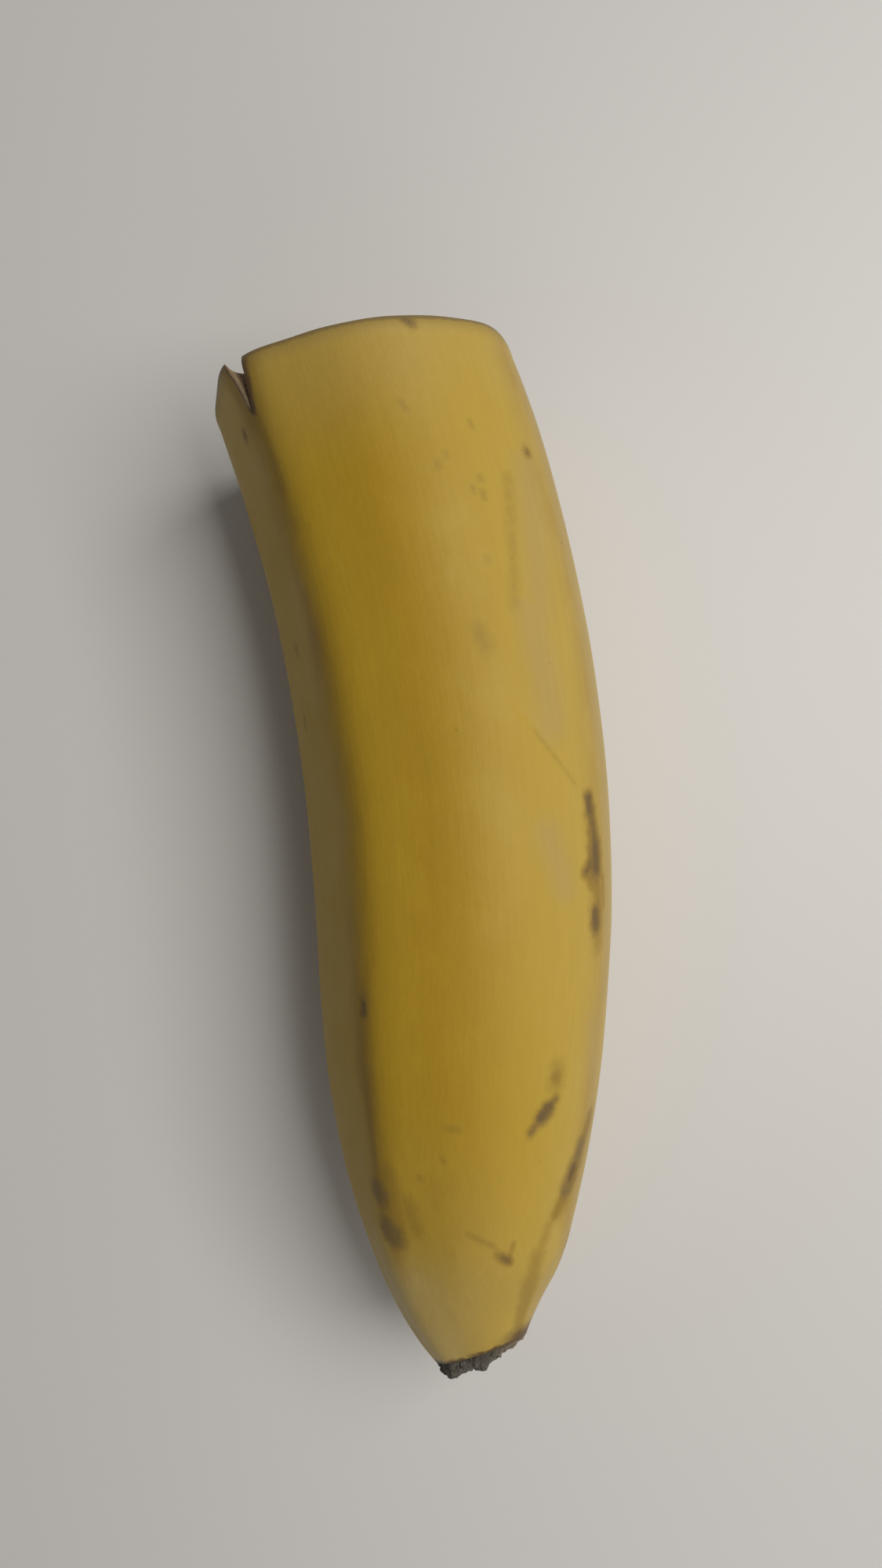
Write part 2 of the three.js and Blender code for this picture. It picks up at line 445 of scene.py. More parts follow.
marks = {
    "bruise": [  # dark brown and a little sunken
        (0.5, 15.7, 1.1, 17.3, 0.6),
        (6.4, -59.7, 6.7, -59.6, 0.5),
        (16.2, 48.6, 16.5, 48.7, 0.3),
        (54.4, 48.7, 55.8, 49.3, 0.9),
        (55.8, 49.3, 59.4, 51.0, 0.5),
        (59.8, 51.4, 62.4, 51.4, 1.3),
        (61.6, 48.2, 62.6, 45.6, 0.5),
        (67.2, 50.8, 68.4, 51.0, 1.1),
        (77.0, -41.2, 78.2, -41.4, 0.8),
        (91.9, 25.4, 90.4, 29.0, 0.4),
        (90.3, 29.6, 89.2, 32.6, 1.5),
        (89.2, 33.2, 88.2, 35.4, 0.5),
        (97.6, 50.6, 98.8, 49.4, 1.1),
        (107.4, 15.0, 108.0, 18.6, 0.4),
    ],
    "blotch": [  # broad, dark and soft
        (54.6, 48.8, 60.0, 51.0, 0.9),
        (60.0, 51.2, 62.6, 50.8, 1.8),
        (67.2, 50.8, 68.4, 51.0, 1.6),
        (95.0, 53.2, 98.0, 50.8, 1.7),
        (97.6, 51.0, 100.0, 48.4, 2.4),
        (99.2, -43.4, 99.7, -42.2, 2.6),
        (104.0, -42.0, 104.5, -40.6, 3.2),
    ],
    "smudge": [  # tan and soft
        (31.4, -66.2, 32.4, -65.8, 0.9),
        (40.9, -70.9, 42.0, -70.7, 0.8),
        (9.4, 5.2, 10.5, 6.4, 0.4),
        (15.6, 15.9, 16.0, 15.7, 0.3),
        (16.4, 12.0, 16.9, 12.2, 0.5),
        (12.6, 28.1, 13.2, 28.2, 0.3),
        (18.6, 26.2, 19.0, 26.3, 0.5),
        (19.5, 22.4, 19.9, 22.1, 0.4),
        (20.3, 25.8, 20.8, 25.6, 0.6),
        (27.4, 21.3, 27.8, 21.4, 0.4),
        (46.5, 28.0, 53.0, 42.9, 0.05),
        (58.6, 50.0, 63.8, 49.0, 2.0),
        (63.4, 55.8, 66.4, 56.2, 0.9),
        (55.6, 49.2, 59.6, 51.4, 1.2),
        (61.0, 49.4, 62.8, 45.0, 1.2),
        (64.0, 51.6, 66.0, 52.2, 1.0),
        (85.0, -42.6, 97.0, -41.4, 0.9),
        (85.4, 34.6, 85.6, 35.4, 1.2),
        (91.0, -4.0, 90.8, -10.0, 0.5),
        (94.4, -12.0, 94.8, -10.8, 0.5),
        (96.9, -22.0, 97.1, -21.0, 0.5),
        (91.6, 58.0, 95.6, 54.0, 1.8),
        (101.0, 46.6, 103.2, 43.2, 1.6),
        (103.7, -2.6, 105.7, 11.0, 0.5),
        (106.9, 12.4, 108.2, 20.2, 1.3),
        (105.8, 21.0, 107.2, 19.4, 0.8),
        (5.0, -48.2, 8.4, -46.2, 1.3),
        (8.0, -46.2, 14.0, -44.2, 1.1),
    ],
    "stain": [  # broad and brown
        (4.0, -49.0, 18.0, -43.6, 1.6),
        (56.0, 49.6, 64.0, 52.0, 1.8),
        (65.0, 52.0, 70.6, 52.4, 1.6),
        (19.0, 37.0, 33.0, 28.0, 0.1),
        (35.0, 13.0, 37.0, 15.0, 0.8),
        (76.0, -40.6, 97.0, -42.4, 1.2),
        (84.6, 35.4, 86.2, 34.8, 1.6),
        (92.0, 58.4, 102.4, 46.6, 3.0),
        (97.4, -38.0, 104.6, -38.0, 3.8),
        (100.6, -29.0, 103.4, -28.0, 2.0),
        (104.4, 40.6, 108.5, 36.6, 1.0),
        (108.5, 36.6, 113.2, 36.0, 2.6),
        (113.2, 36.0, 122.8, 42.0, 4.0),
        (108.0, 64.0, 122.0, 68.0, 1.6),
    ],
    "flush": [  # broad, pinkish and pale
        (6.0, 66.0, 30.0, 62.0, 4.4),
        (18.0, 46.0, 34.0, 38.0, 3.4),
        (34.0, 34.0, 46.0, 36.0, 4.0),
        (34.0, 62.0, 56.0, 64.0, 3.8),
        (56.0, 62.0, 76.0, 62.0, 3.2),
        (58.0, 30.0, 64.0, 36.0, 3.2),
        (80.0, 52.0, 92.0, 60.0, 3.2),
        (92.0, 62.0, 110.0, 58.0, 3.4),
        (112.0, 50.0, 122.0, 56.0, 3.4),
    ],
    "crease": [
        (44.0, 23.5, 53.4, 43.2, 1.2),
    ],
}
hiddenMarks = {  # ranges for the marks of the sides and the underside, in mm and degrees
    "along": (10, 108),
    "angle": (84, 170),
    "length": (0.3, 2.4),
    "swing": (-3, 3),
    "kinds": [  # kind, count, widths, seed
        ("bruise", 7, (0.6, 1.4), 11),
        ("smudge", 14, (0.8, 1.6), 5),
        ("stain", 5, (1.6, 3.2), 2),
    ],
}


def addHiddenMarks():
    for kind, count, widths, seed in hiddenMarks["kinds"]:
        rng = np.random.default_rng(seed)
        for _ in range(count):
            along = rng.uniform(*hiddenMarks["along"])
            angle = rng.uniform(*hiddenMarks["angle"]) * rng.choice([-1, 1])
            length = rng.uniform(*hiddenMarks["length"])
            swing = rng.uniform(*hiddenMarks["swing"])
            width = rng.uniform(*widths)
            marks[kind].append((along, angle, along + length, angle + swing, width))
    print("marks:", sum(len(places) for places in marks.values()))


def toNearestMark(place, kind):
    # how far the place is outside the nearest mark of the kind; each mark is a bar with round ends
    tree = place.tree
    nearest = 1.0
    for along, angle, farAlong, farAngle, width in marks[kind]:
        start = Vector((along * mm, arc(angle), 0))
        way = Vector((farAlong * mm, arc(farAngle), 0)) - start
        centre = start + way / 2
        turned = makeNode(
            tree, "ShaderNodeVectorRotate", settings={"rotation_type": "Z_AXIS"},
            Vector=place, Center=centre, Angle=-math.atan2(way.y, way.x))
        away = vectorMaths(tree, "ABSOLUTE", vectorMaths(tree, "SUBTRACT", turned, centre))
        away = vectorMaths(tree, "SUBTRACT", away, (way.length / 2, 0, 0))
        away = vectorMaths(tree, "LENGTH", vectorMaths(tree, "MAXIMUM", away, (0, 0, 0)))
        nearest = maths(tree, "MINIMUM", nearest, away - width * mm / 2)
    return nearest


# Materials


def newMaterial(name, **values):
    material = bpy.data.materials.new(name)
    material.use_nodes = True
    shader = material.node_tree.nodes["Principled BSDF"]
    for socket in shader.inputs:
        if socket.name.replace(" ", "") in values:
            socket.default_value = values[socket.name.replace(" ", "")]
    return material, material.node_tree, shader


def named(tree, name, output="Fac"):
    node = tree.nodes.new("ShaderNodeAttribute")
    node.attribute_name = name
    return Wire(tree, node.outputs[output])


def mixed(share, first, second):
    node = share.tree.nodes.new("ShaderNodeMix")
    node.data_type = "RGBA"
    for value, socket in ((share, node.inputs[0]), (first, node.inputs[6]), (second, node.inputs[7])):
        plug((*value, 1.0) if isinstance(value, tuple) else value, socket)
    return Wire(share.tree, node.outputs[2])


def bumped(tree, shader, height, distance):
    plug(makeNode(tree, "ShaderNodeBump", Distance=distance, Height=height), shader.inputs["Normal"])


skinLook = {
    "yellow": (0.53, 0.34, 0.026),
    "golden": (0.45, 0.27, 0.016),
    # a pale colour for painted sheen and painted light
    "bloom": (0.57, 0.425, 0.15),
    "pinkish": (0.45, 0.31, 0.13),
    "tan": (0.31, 0.188, 0.026),
    # the ridges' own browning, partly painted shade beside them
    "crest": (0.30, 0.155, 0.017),
    "dusk": (0.20, 0.132, 0.05),
    "brown": (0.155, 0.098, 0.04),
    "dried": (0.095, 0.053, 0.032),
    "rim": (0.24, 0.17, 0.075),
    "crestTints": (0.6, 0.34, 0.5, 0.6, 0.6),
    "crestShifts": (-3, 4, -3, -3, -3),
    "crestWidth": 6.5,
    "fibreSize": 0.55 * mm,
    "grainSize": 0.35 * mm,
    "speckSize": 1.6 * mm,
    "pebbleSize": 1.7 * mm,
    "cloudSize": 8 * mm,
    "raggedSize": 0.9 * mm,
    "wanderSize": 4 * mm,
    "roughness": 0.52,
    "bumpDepth": 0.05 * mm,
}
markEdges = {  # how ragged, where the colour starts outside the mark and is full inside it, its strength
    "flush": (1.2 * mm, 1.6 * mm, -1.8 * mm, 0.4),
    "stain": (1.6 * mm, 1.4 * mm, -1.2 * mm, 0.6),
    "smudge": (0.35 * mm, 0.5 * mm, -0.5 * mm, 0.75),
    "blotch": (1.2 * mm, 1.1 * mm, -0.8 * mm, 0.8),
}


def markShare(tree, kind, ragged):
    roughness, start, full, strength = markEdges[kind]
    return ramp(named(tree, kind) + ragged * roughness, start, full, 0.0, strength)


def makeSkin():
    look = skinLook
    material, tree, shader = newMaterial(
        "peelSkin", SpecularIORLevel=0.3, CoatWeight=0.03, CoatRoughness=0.4)
    straight = named(tree, "straightPlace", "Vector")
    sideways, along, upright = parts(straight)
    angle = maths(tree, "DEGREES", maths(tree, "ARCTAN2", sideways, upright))
    fibres = noiseOf(stretched(straight, 1, 0.06, 1), look["fibreSize"], 2, 0.6)
    grain = noiseOf(straight, look["grainSize"], 2, 0.6)
    cloud = noiseOf(straight, look["cloudSize"], 3, 0.55)
    ragged = noiseOf(straight, look["raggedSize"], 3, 0.65) - 0.5

    # a deeper yellow on top, and a pale colour of painted sheen and painted light on the outer side, low on
    # the left, at both ends and on the left flank near the blossom end
    deep = humpAt(angle, -14, 32) * ramp(cloud, 0.2, 0.6, 0.6, 1.0)
    colour = mixed(deep, look["yellow"], look["golden"])
    outer = ramp(angle, 8, 92) * ramp(angle, 172, 120) + ramp(angle, -80, -130, 0.0, 0.3)
    ends = ramp(along, 86 * mm, 116 * mm, 0.0, 0.3) + ramp(along, 16 * mm, 1 * mm, 0.0, 0.4)
    leftEnd = ramp(along, 103 * mm, 113 * mm)
    ends = ends + leftEnd * humpAt(angle, -50, 36) * 0.8
    bloom = larger(outer, ends) * 0.7 + (outer + ends) * 0.25
    colour = mixed(bloom * ramp(cloud, 0.25, 0.7, 0.75, 1.0), colour, look["bloom"])

    # brown along the crests of the ridges, coming and going: partly the ridges' own browning and partly
    # painted shade beside the crests
    wander = noiseOf(stretched(straight, 1, 0.4, 1), look["wanderSize"], 2, 0.6)
    for (start, far, *_), tint, shift in zip(ridges, look["crestTints"], look["crestShifts"]):
        start, far = [a if a < halfTurn else a - fullTurn for a in (start, far)]
        turned = maths(tree, "MINIMUM", 1.0, along / fruit["Ridge turn length"])
        crest = turned * (far - start) + (start + shift)
        tinted = humpAt(angle + wander * 4.0, crest, look["crestWidth"]) * ramp(wander, 0.25, 0.7, 0.3, 1.0)
        colour = mixed(tinted * tint * (1.0 - leftEnd * 0.8), colour, look["crest"])

    # the marks, from the palest and broadest to the darkest
    colour = mixed(markShare(tree, "flush", ragged), colour, look["pinkish"])
    colour = mixed(markShare(tree, "stain", ragged), colour, look["tan"])
    smudge = markShare(tree, "smudge", ragged)
    colour = mixed(smudge * ramp(grain, 0.2, 0.6, 0.8, 1.0), colour, look["tan"])
    colour = mixed(markShare(tree, "blotch", ragged), colour, look["dusk"])
    toBruise = named(tree, "bruise") + ragged * 0.7 * mm
    colour = mixed(ramp(toBruise, 1.1 * mm, 0.0, 0.0, 0.6), colour, look["tan"])
    bruise = ramp(toBruise, 0.55 * mm, -0.45 * mm)
    colour = mixed(bruise * ramp(grain, 0.2, 0.6, 0.75, 0.95), colour, look["brown"])
    speck = ramp(noiseOf(straight, look["speckSize"], 1, 0.4), 0.80, 0.83, 0.0, 0.4)
    colour = mixed(speck, colour, look["tan"])
    colour = mixed(ramp(fibres, 0.3, 0.75, 0.0, 0.08), colour, look["tan"])

    # dried edges: the cut rim, the lips of the split and the skin beside the scar
    toLip = named(tree, "toLip") + ragged * 0.5 * mm
    colour = mixed(ramp(toLip, 3.2 * mm, 0.4 * mm, 0.0, 0.6), colour, look["tan"])
    toLip = toLip * ramp(angle, -51, -46, 2.2, 1.0)
    colour = mixed(ramp(toLip, 1.15 * mm, 0.35 * mm, 0.0, 0.92), colour, look["dried"])
    toRim = along + ragged * 0.5 * mm
    colour = mixed(ramp(toRim, 2.6 * mm, 0.3 * mm, 0.0, 0.4), colour, look["rim"])
    colour = mixed(ramp(toRim, 0.75 * mm, 0.35 * mm, 0.0, 0.8), colour, look["rim"])
    toScar = fruit["Length"] - along + ragged * 1.4 * mm
    brownEnd = ramp(toScar, 2.2 * mm, 0.4 * mm) * ramp(angle, 5, 50)
    brownEnd = larger(ramp(toScar, 0.7 * mm, 0.1 * mm), brownEnd)
    colour = mixed(brownEnd * 0.85, colour, look["dried"])
    plug(colour, shader.inputs["Base Color"])

    rough = look["roughness"] + bruise * 0.12 + ramp(cloud, 0.3, 0.7, -0.04, 0.05)
    plug(rough, shader.inputs["Roughness"])
    pebbles = noiseOf(straight, look["pebbleSize"], 2, 0.5)
    bumped(tree, shader, fibres * 0.45 + grain * 0.2 + pebbles - bruise * 0.8, look["bumpDepth"])
    return material


pithLook = {
    "pale": (0.60, 0.47, 0.27),
    "tan": (0.34, 0.225, 0.115),
    "brown": (0.12, 0.075, 0.042),
    "strandSize": 0.45 * mm,
    "blotchSize": 2.5 * mm,
    "dotSize": 0.7 * mm,
    "bumpDepth": 0.25 * mm,
}


def makePith():
    look = pithLook
    material, tree, shader = newMaterial("peelPith", Roughness=0.75)
    straight = named(tree, "straightPlace", "Vector")
    _, along, _ = parts(straight)
    depth = named(tree, "depth")
    strands = noiseOf(stretched(straight, 1, 0.15, 1), look["strandSize"], 3, 0.6)
    blotch = noiseOf(straight, look["blotchSize"], 2, 0.5)
    colour = mixed(ramp(strands, 0.35, 0.7), look["tan"], look["pale"])
    colour = mixed(ramp(blotch, 0.4, 0.65, 0.2, 0.7), colour, look["tan"])
    dots = ramp(noiseOf(straight, look["dotSize"], 1, 0.4), 0.6, 0.68, 0.0, 0.6)
    colour = mixed(dots, colour, look["brown"])
    nearSkin = ramp(depth + strands * 0.06, 0.2, 0.08, 0.0, 0.8)
    nearSplit = ramp(named(tree, "toLip"), 1.6 * mm, 0.1 * mm, 0.0, 0.4)
    nearSplit = nearSplit * ramp(along, 0.0, 3 * mm, 0.3, 1.0)
    colour = mixed(larger(nearSkin, nearSplit), colour, look["brown"])
    plug(colour, shader.inputs["Base Color"])
    bumped(tree, shader, strands + blotch * 0.5, look["bumpDepth"])
    return material


pulpLook = {
    "cream": (0.83, 0.69, 0.42),
    "core": (0.70, 0.55, 0.27),
    "septum": (0.55, 0.40, 0.18),
    "dried": (0.50, 0.36, 0.17),
    "coreRadius": 6.2 * mm,
    "coreTurn": 22.0,
    "rippleSize": 2 * mm,
    "grainSize": 0.4 * mm,
    "spokeSize": 0.5 * mm,
    "driedSize": 6 * mm,
    "bumpDepth": 0.2 * mm,
}


def makePulp():
    look = pulpLook
    material, tree, shader = newMaterial(
        "fleshPulp", Roughness=0.42, SubsurfaceWeight=0.15, SubsurfaceScale=1.0,
        SubsurfaceRadius=(4 * mm, 2.5 * mm, 1 * mm))
    straight = named(tree, "straightPlace", "Vector")
    x, _, z = parts(straight)
    reach = maths(tree, "SQRT", x * x + z * z)
    turn = maths(tree, "ARCTAN2", x, z) + math.radians(look["coreTurn"])
    ripple = noiseOf(straight, look["rippleSize"], 3, 0.6)
    grain = noiseOf(straight, look["grainSize"], 2, 0.6)

    # a core of three lobes, the thin walls between them, and fine spokes outwards
    lobes = maths(tree, "COSINE", turn * 3.0)
    edge = look["coreRadius"] * (0.82 + 0.16 * lobes) + ripple * mm
    inCore = ramp(reach - edge, 0.6 * mm, -0.6 * mm)
    septum = ramp(lobes + ripple * 0.25, -0.80, -0.93) * ramp(reach, 9 * mm, 4 * mm)
    heart = ramp(reach + ripple * 0.6 * mm, 1.6 * mm, 0.7 * mm)
    spokePlace = joined(tree, lobes * 9 * mm, reach * 0.12, turn * 0.5 * mm)
    spokes = noiseOf(spokePlace, look["spokeSize"], 2, 0.6)
    colour = mixed(ramp(spokes, 0.35, 0.7, 0.0, 0.35), look["cream"], look["core"])
    colour = mixed(inCore * 0.75, colour, look["core"])
    colour = mixed(larger(septum, heart) * 0.7, colour, look["septum"])
    dried = ramp(noiseOf(straight, look["driedSize"], 3, 0.6) + reach * 9.0, 0.62, 0.85, 0.0, 0.7)
    colour = mixed(dried, colour, look["dried"])
    plug(colour, shader.inputs["Base Color"])
    bumped(tree, shader, grain * 0.4 + ripple + inCore * 0.4, look["bumpDepth"])
    return material


crustLook = {
    "dark": (0.085, 0.074, 0.058),
    "grey": (0.17, 0.148, 0.118),
    "light": (0.25, 0.19, 0.115),
    "cragSize": 1.3 * mm,
    "grainSize": 0.3 * mm,
    "bumpDepth": 0.25 * mm,
}


def makeCrust():
    look = crustLook
    material, tree, shader = newMaterial("scarCrust", Roughness=0.85)
    straight = named(tree, "straightPlace", "Vector")
    x, _, _ = parts(straight)
    crags = noiseOf(straight, look["cragSize"], 4, 0.65)
    grain = noiseOf(straight, look["grainSize"], 3, 0.6)
    colour = mixed(ramp(crags, 0.35, 0.65), look["dark"], look["grey"])
    # lighter towards the outside of the fruit's bend
    colour = mixed(ramp(x + crags * 3 * mm, 1.5 * mm, 6.5 * mm, 0.0, 0.75), colour, look["light"])
    plug(colour, shader.inputs["Base Color"])
    bumped(tree, shader, crags + grain * 0.5, look["bumpDepth"])
    return material


def makeSpeckled(name, dark, light, size, roughness):
    material, tree, shader = newMaterial(name, Roughness=roughness)
    place = makeNode(tree, "ShaderNodeTexCoord", "Object")
    speckle = noiseOf(place, size, 3, 0.6)
    plug(mixed(ramp(speckle, 0.3, 0.7), dark, light), shader.inputs["Base Color"])
    bumped(tree, shader, speckle, 0.06 * mm)
    return material


# The peel: two skins that meet round the rim and down both lips of the split

peel = {
    "columns": 240,
    "rowStep": 0.5 * mm,
    "splitRows": 16,
    "splitCrowding": 1.6,
    "innerRows": 22,
    "rimSteps": 7,
    "edgeRound": 0.28 * mm,
    "edgeReach": 1.4 * mm,
    "edgePower": 2.2,
    "rimHollow": 0.3 * mm,
    "hollowReach": 2 * mm,
    "knifeWobble": 0.14 * mm,
    "wobbleSize": 5 * mm,
    "wobbleReach": 3 * mm,
    "wobbleSeed": 3.0,
    "tipInset": 0.35,
}
peelRelief = {
    "Lump height": 0.26 * mm,
    "Lump size": 16 * mm,
    "Flute height": 0.08 * mm,
    "Flute size": 3.6 * mm,
    "Tip flute height": 0.22 * mm,
    "Tip flute size": 4.4 * mm,
    "Bruise depth": 0.12 * mm,
    "Crease depth": 0.07 * mm,
}
reliefEnds = {  # where each relief starts and is full, along the fruit or outside its mark
    "lumps": (100 * mm, 116 * mm),
    "flutes": (88 * mm, 118 * mm),
    "fluteFade": 119 * mm,
    "rim": (0.2 * mm, 2.5 * mm),
    "bruise": (0.4 * mm, -0.4 * mm),
    "crease": (0.5 * mm, -0.6 * mm),
}
split = {
    "depth": 5.5 * mm,
    "width": 2.1 * mm,
    "power": 1.2,
    "farShare": 0.8,
    "drift": -2.8,
    "pithTear": 0.5 * mm,
    "tearWidth": 9,
}
lips = {"nearRise": 0.25 * mm, "farRise": 1.2 * mm, "power": 1.5, "rounding": 0.3, "width": 20}
rimBulge = {"angle": -67, "rise": 0.75 * mm, "width": 36, "reach": 8.5 * mm}
tipShoulder = {"along": 116.5 * mm, "angle": 85, "rise": 0.6 * mm, "width": 45, "reach": 5 * mm}


def columnAngles(along, share):
    # the first and the last column run down the split's two lips
    opening = split["width"] * np.clip(1 - along / split["depth"], 0, None) ** split["power"]
    opening = np.degrees(opening / fruit["Face radius"])
    drift = split["drift"] * np.clip(along / split["depth"], 0, 1)
    near = ridges[0][0] + drift + opening * (1 - split["farShare"])
    far = near + fullTurn - opening
    return near + (far - near) * share, near, far


def leftOf(station, reach):
    # falls from 1 at the cut to 0 where the reach ends
    return np.clip(1 - station / reach, 0, 1)


def peelValues(station, share, depth, wear=1.0):
    angle, nearLip, farLip = columnAngles(station, share)
    # both lips stand out at the cut, the far one most, and lie down towards the end of the split
    left = 1 - station / split["depth"]
    lipShare = (left + np.hypot(left, lips["rounding"])) / (1 + np.hypot(1, lips["rounding"]))
    lip = lips["nearRise"] * bell(angle - nearLip, lips["width"])
    lip = lip + lips["farRise"] * bell(farLip - angle, lips["width"])
    bulge = rimBulge["rise"] * bell(station, rimBulge["reach"])
    bulge = bulge * hump(angle, rimBulge["angle"], rimBulge["width"])
    shoulder = tipShoulder["rise"] * bell(station - tipShoulder["along"], tipShoulder["reach"])
    bulge = bulge + shoulder * hump(angle, tipShoulder["angle"], tipShoulder["width"]) * (1 - depth)

    # the worn edge of the skin, the torn pith at the far lip, and the knife's uneven cut
    edge = peel["edgeRound"] * leftOf(station, peel["edgeReach"]) ** peel["edgePower"] * (1 - depth)
    tear = split["pithTear"] * np.clip(left, 0, 1) * bell(farLip - angle, split["tearWidth"])
    tear = tear * np.clip(depth * 4, 0, 1) ** 0.7
    hollow = peel["rimHollow"] * np.sin(np.pi * np.clip(depth, 0, 1)) * leftOf(station, peel["hollowReach"])
    wobble = peel["knifeWobble"] * roughly(angle, peel["wobbleSize"], peel["wobbleSeed"])
    wobble = wobble * leftOf(station, peel["wobbleReach"])
    aside = np.radians(np.minimum(angle - nearLip, farLip - angle)) * fruit["Face radius"]
    return {
        "along": station + tear + hollow + wobble * wear,
        "angle": angle,
        "depth": depth,
        "lift": lip * lipShare ** lips["power"] + bulge - edge * wear,
        "toLip": np.hypot(aside, np.clip(station - split["depth"], 0, None)),
    }


def weld(grid, fromRow=0):
    # a grid that goes all the way round ends on its own first column
    grid[fromRow:, -1] = grid[fromRow:, 0]


def evenArc(count):
    # shares from 0 to 1 that crowd at 1, as rows on a rounded end need
    return np.sin(np.linspace(0, math.pi / 2, count))


def layPeel():
    columns, rows, steps = peel["columns"], peel["splitRows"], peel["rimSteps"]
    share = np.linspace(0, 1, columns + 1)[None, :]
    splitStations = split["depth"] * (np.arange(rows) / rows) ** peel["splitCrowding"]
    outerCount = int((fruit["Length"] - split["depth"]) / peel["rowStep"])
    outerStations = np.linspace(split["depth"], fruit["Length"], outerCount)
    outerStations = np.concatenate([splitStations, outerStations])
    innerStations = evenArc(peel["innerRows"]) * (fruit["Core end"] - split["depth"])
    innerStations = np.concatenate([splitStations, split["depth"] + innerStations])

    sheets = Sheets()
    outerValues = peelValues(outerStations[:, None], share, 0.0)
    innerValues = peelValues(innerStations[:, None], share, 1.0)
    outer = sheets.points((len(outerStations), columns + 1), **outerValues)
    inner = sheets.points((len(innerStations), columns + 1), **innerValues)
    weld(outer, rows)
    weld(inner, rows)
    inner[-1, :] = inner[-1, 0]

    # the cut face between the two skins, and the torn wall under either lip
    depths = np.linspace(0, 1, steps + 1)[1:-1]
    between = sheets.points((steps - 1, columns + 1), **peelValues(0.0, share, depths[:, None]))
    apex = sheets.points((1, steps - 1), **peelValues(split["depth"], 0.0, depths[None, :]))
    stations = splitStations[1:, None]
    for column, lipShare in ((0, 0.0), (-1, 1.0)):
        middle = sheets.points((rows - 1, steps - 1), **peelValues(stations, lipShare, depths[None, :]))
        middle = np.concatenate([between[:, column][None, :], middle, apex])
        wall = np.column_stack([outer[: rows + 1, column], middle, inner[: rows + 1, column]])
        sheets.cover(wall[:, ::-1] if column == 0 else wall, 1.0)

    # the skin closes at the blossom end, under the scar
    tip = sheets.points(
        (2, columns + 1), along=fruit["Length"], angle=outerValues["angle"][-1:, :],
        inward=np.array([[peel["tipInset"]], [1.0]]), toLip=1.0)
    weld(tip)
    tip[-1, :] = tip[-1, 0]
    sheets.cover(np.concatenate([outer, tip]))
    sheets.cover(inner[::-1], 1.0)
    sheets.cover(np.concatenate([outer[:1], between, inner[:1]])[::-1], 1.0)
    return sheets.makeObject("bananaPeel")


def makePeel(rule):
    sizes = {**peelRelief, "Skin": makeSkin(), "Pith": makePith()}
    tree, given = newTree("growPeel", sizes)
    skin = laidOnFruit(given["Geometry"], rule)
    along, angle = namedValue(tree, "along"), namedValue(tree, "angle")
    around = maths(tree, "WRAP", angle, halfTurn, -halfTurn)
    around = maths(tree, "RADIANS", around) * fruit["Face radius"]
    place = joined(tree, along, around, 0.0)
    for kind in marks:
        skin = storeNamed(skin, kind, toNearestMark(place, kind))

    # broad lumps, fine flutes and deeper flutes at the blossom end, less the bruises and the crease
    straight = namedValue(tree, "straightPlace", "FLOAT_VECTOR")
    relief = (noiseOf(straight, given["Lump size"], 2, 0.45) - 1.0) * given["Lump height"]
    relief = relief * ramp(along, *reliefEnds["lumps"], 1.0, 0.3)
    flutes = noiseOf(stretched(straight, 1, 0.06, 1), given["Flute size"], 2, 0.5) - 1.0
    relief = relief + flutes * given["Flute height"]
    tipFlutes = noiseOf(stretched(straight, 1, 0.12, 1), given["Tip flute size"], 1, 0.5) - 0.85
    atTip = ramp(along, *reliefEnds["flutes"])
    atTip = atTip * ramp(along, fruit["Length"], reliefEnds["fluteFade"], 0.25, 1.0)
    relief = relief + tipFlutes * given["Tip flute height"] * atTip
    relief = relief - ramp(namedValue(tree, "bruise"), *reliefEnds["bruise"]) * given["Bruise depth"]
    relief = relief - ramp(namedValue(tree, "crease"), *reliefEnds["crease"]) * given["Crease depth"]
    outside = 1.0 - maths(tree, "MINIMUM", 1.0, namedValue(tree, "depth") * 100.0)
    relief = relief * outside * ramp(along, *reliefEnds["rim"])
    finishTree(pushed(skin, relief), given["Skin"], given["Pith"])
    thing = layPeel()
    runTree(thing, tree, sizes)
    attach(thing, "root")
    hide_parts("peel")


# The flesh, its seeds and the strings between it and the peel

flesh = {
    "columns": 144,
    "faceRings": 36,
    "ringCrowding": 1.3,
    "bodyRings": 36,
    "inset": 0.4 * mm,
    "end": 114.5 * mm,
    "gap": 0.06 * mm,
}
fleshRelief = {"Drag height": 0.16 * mm, "Drag size": 3.0 * mm, "Core rise": 0.12 * mm}


